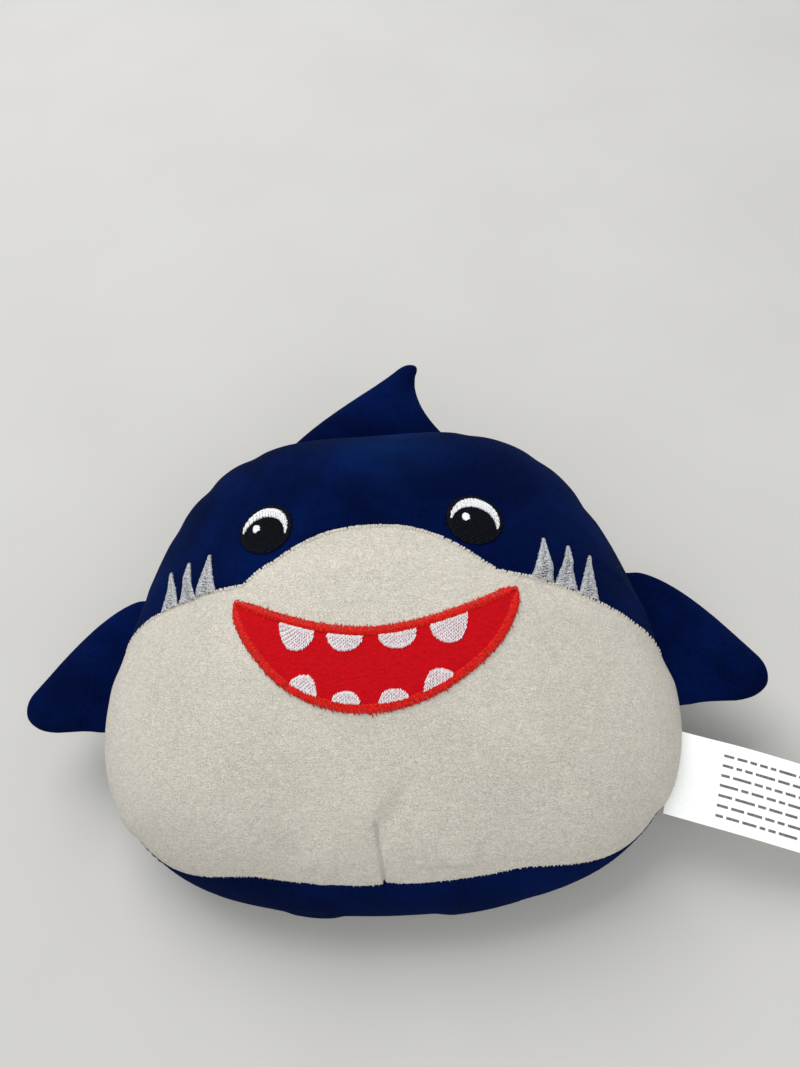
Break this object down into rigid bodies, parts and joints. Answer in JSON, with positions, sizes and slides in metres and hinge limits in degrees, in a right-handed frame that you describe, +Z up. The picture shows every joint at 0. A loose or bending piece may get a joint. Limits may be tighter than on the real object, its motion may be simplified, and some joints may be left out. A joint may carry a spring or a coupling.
{
  "type": "plush shark",
  "caption": "Round stuffed shark pillow that lies on its back, face up, with an embroidered grin and eyes, soft hinged side fins and top fin, and a care label.",
  "frame": {"origin": "middle of the flat patch on which the stuffed back rests, on the surface it lies on", "axes": "+Z up, out of the face; +Y to the top of the head; +X to the right of the face as it is looked at"},
  "size_m": [0.3424, 0.2331, 0.1037],
  "materials": {
    "navy_velour": "short-pile polyester velour, navy",
    "grey_velour": "short-pile polyester velour, warm light grey",
    "polyester_fill": "loose polyester fibre filling",
    "navy_thread": "polyester sewing thread, navy",
    "grey_thread": "polyester sewing thread, grey",
    "embroidery_backing": "non-woven embroidery backing",
    "red_fabric": "red short-pile applique fabric",
    "red_embroidery": "red rayon satin stitch",
    "white_embroidery": "white rayon fill stitch",
    "black_embroidery": "black rayon fill stitch",
    "silver_embroidery": "silver-grey rayon satin stitch",
    "white_ribbon": null
  },
  "bodies": {
    "body": {"forehead_panel": "navy_velour", "belly_panel": "grey_velour", "back_panel": "navy_velour", "body_fill": "polyester_fill", "snout_seam_thread": "navy_thread", "belly_seam_thread": "navy_thread", "belly_dart_thread": "grey_thread", "side_closing_thread": "navy_thread", "mouth_backing": "embroidery_backing", "left_eye_backing": "embroidery_backing", "right_eye_backing": "embroidery_backing", "mouth_patch": "red_fabric", "mouth_border": "red_embroidery", "upper_tooth_1": "white_embroidery", "upper_tooth_2": "white_embroidery", "upper_tooth_3": "white_embroidery", "upper_tooth_4": "white_embroidery", "lower_tooth_1": "white_embroidery", "lower_tooth_2": "white_embroidery", "lower_tooth_3": "white_embroidery", "lower_tooth_4": "white_embroidery", "left_eye_black": "black_embroidery", "left_eye_white": "white_embroidery", "left_eye_glint": "white_embroidery", "right_eye_black": "black_embroidery", "right_eye_white": "white_embroidery", "right_eye_glint": "white_embroidery", "left_gill_1": "silver_embroidery", "left_gill_2": "silver_embroidery", "left_gill_3": "silver_embroidery", "right_gill_1": "silver_embroidery", "right_gill_2": "silver_embroidery", "right_gill_3": "silver_embroidery"},
    "dorsal_fin": {"dorsal_fin_front": "navy_velour", "dorsal_fin_back": "navy_velour", "dorsal_fin_fill": "polyester_fill"},
    "left_fin": {"left_fin_front": "navy_velour", "left_fin_back": "navy_velour", "left_fin_fill": "polyester_fill"},
    "right_fin": {"right_fin_front": "navy_velour", "right_fin_back": "navy_velour", "right_fin_fill": "polyester_fill"},
    "care_label": {"care_label": "white_ribbon"}
  },
  "joints": [
    {"name": "right_fin_flap", "type": "hinge", "parent": "body", "child": "right_fin", "pos_m": [0.1116, 0.03253, 0.04169], "axis": [0.2283, -0.9523, -0.2024], "range_deg": [-40, 40], "stiffness_Nm_per_rad": 0.02},
    {"name": "left_fin_flap", "type": "hinge", "parent": "body", "child": "left_fin", "pos_m": [-0.1116, 0.03253, 0.04169], "axis": [0.2283, 0.9523, 0.2024], "range_deg": [-40, 40], "stiffness_Nm_per_rad": 0.02},
    {"name": "dorsal_fin_flap", "type": "hinge", "parent": "body", "child": "dorsal_fin", "pos_m": [-0.0055, 0.12242, 0.0608], "axis": [0.9996, 0.0263, 0.0056], "range_deg": [-40, 40], "stiffness_Nm_per_rad": 0.02},
    {"name": "care_label_flap", "type": "hinge", "parent": "body", "child": "care_label", "pos_m": [0.11383, -0.02026, 0.03047], "axis": [-0.309, -0.9303, -0.1977], "range_deg": [-60, 60], "stiffness_Nm_per_rad": 0.004}
  ]
}
